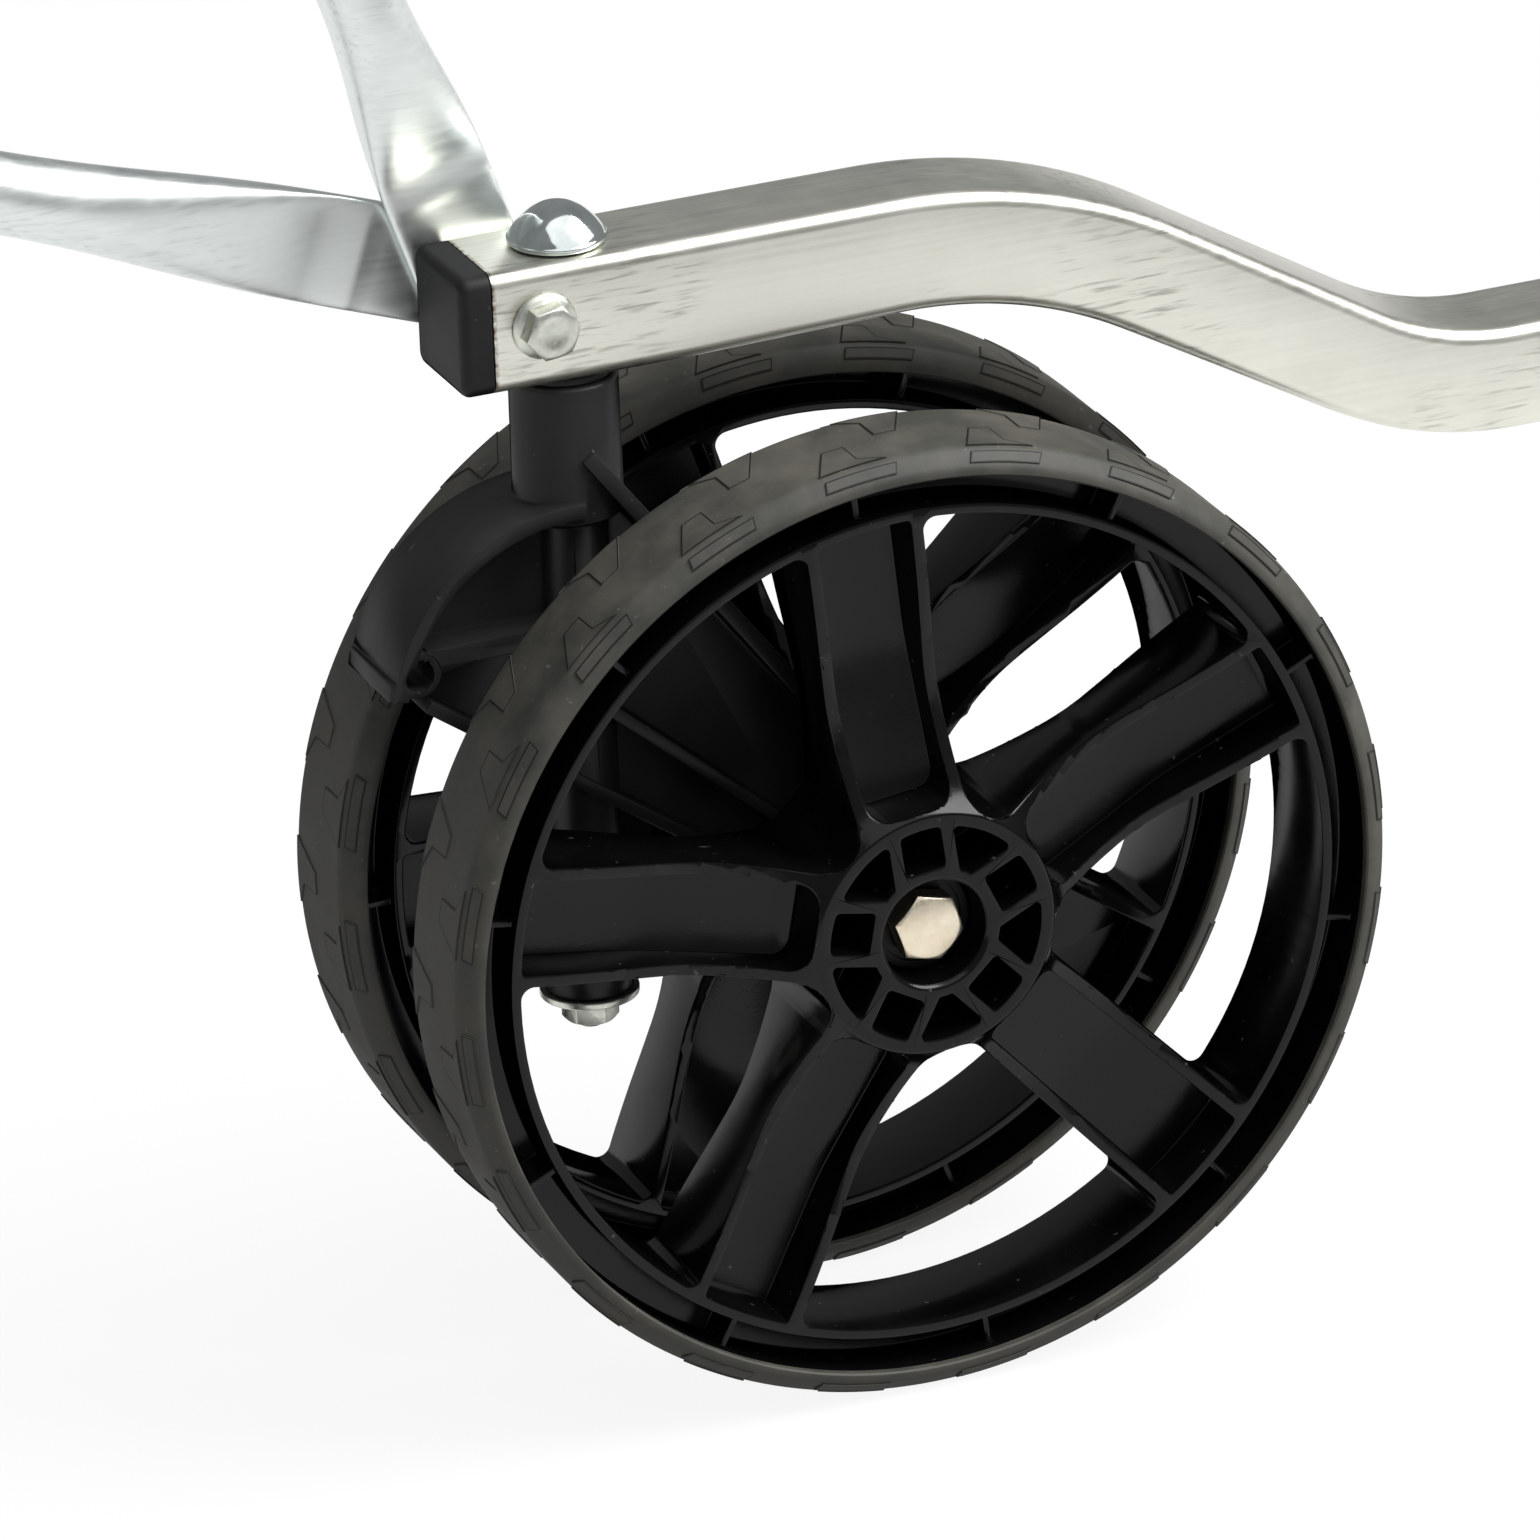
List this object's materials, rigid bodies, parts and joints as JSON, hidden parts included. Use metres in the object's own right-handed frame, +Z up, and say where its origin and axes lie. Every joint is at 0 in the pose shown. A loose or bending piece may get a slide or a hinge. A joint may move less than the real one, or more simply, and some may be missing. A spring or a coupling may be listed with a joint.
{
  "type": "swivel castor",
  "caption": "Swivel castor with side-by-side spoked plastic wheels on a moulded yoke, pinned under the capped end of a bent square-tube frame arm with bolted tube struts.",
  "frame": {"origin": "middle of the flat top face at the rear end of the frame arm", "axes": "+Z up, out of that face; +X rearward along the arm; +Y to the far wheel, on the side of the struts"},
  "size_m": [0.3623, 0.0956, 0.3082],
  "materials": {
    "zinc_tube": "zinc-plated, satin, lightly scratched",
    "zinc_hardware": "bright zinc plate",
    "black_plastic": "satin moulded",
    "tyre_rubber": "matte with a mould line tread",
    "bearing_steel": "dull steel"
  },
  "bodies": {
    "frame": {"frame_arm": "zinc_tube", "upper_strut": "zinc_tube", "lower_strut": "zinc_tube", "arm_end_cap": "black_plastic", "strut_bolt": "zinc_hardware", "strut_washer": "zinc_hardware", "strut_nut": "zinc_hardware", "swivel_pin": "zinc_hardware", "swivel_top_washer": "black_plastic", "swivel_bottom_washer": "zinc_hardware", "swivel_nut": "zinc_hardware"},
    "yoke": {"yoke": "black_plastic", "axle_bolt": "zinc_hardware", "axle_nut": "zinc_hardware", "axle_spacer_near": "zinc_hardware", "axle_spacer_far": "zinc_hardware"},
    "wheel_near": {"rim_near": "black_plastic", "tyre_near": "tyre_rubber", "bearing_near_outer": "bearing_steel", "bearing_near_inner": "bearing_steel"},
    "wheel_far": {"rim_far": "black_plastic", "tyre_far": "tyre_rubber", "bearing_far_outer": "bearing_steel", "bearing_far_inner": "bearing_steel"}
  },
  "joints": [
    {"name": "swivel", "type": "hinge", "parent": "frame", "child": "yoke", "pos_m": [-0.21942, 0, -0.0889], "axis": [0, 0, 1], "continuous": true},
    {"name": "wheel_near_spin", "type": "hinge", "parent": "yoke", "child": "wheel_near", "pos_m": [-0.16442, -0.0311, -0.0889], "axis": [0, 1, 0], "continuous": true},
    {"name": "wheel_far_spin", "type": "hinge", "parent": "yoke", "child": "wheel_far", "pos_m": [-0.16442, 0.0311, -0.0889], "axis": [0, 1, 0], "continuous": true}
  ]
}
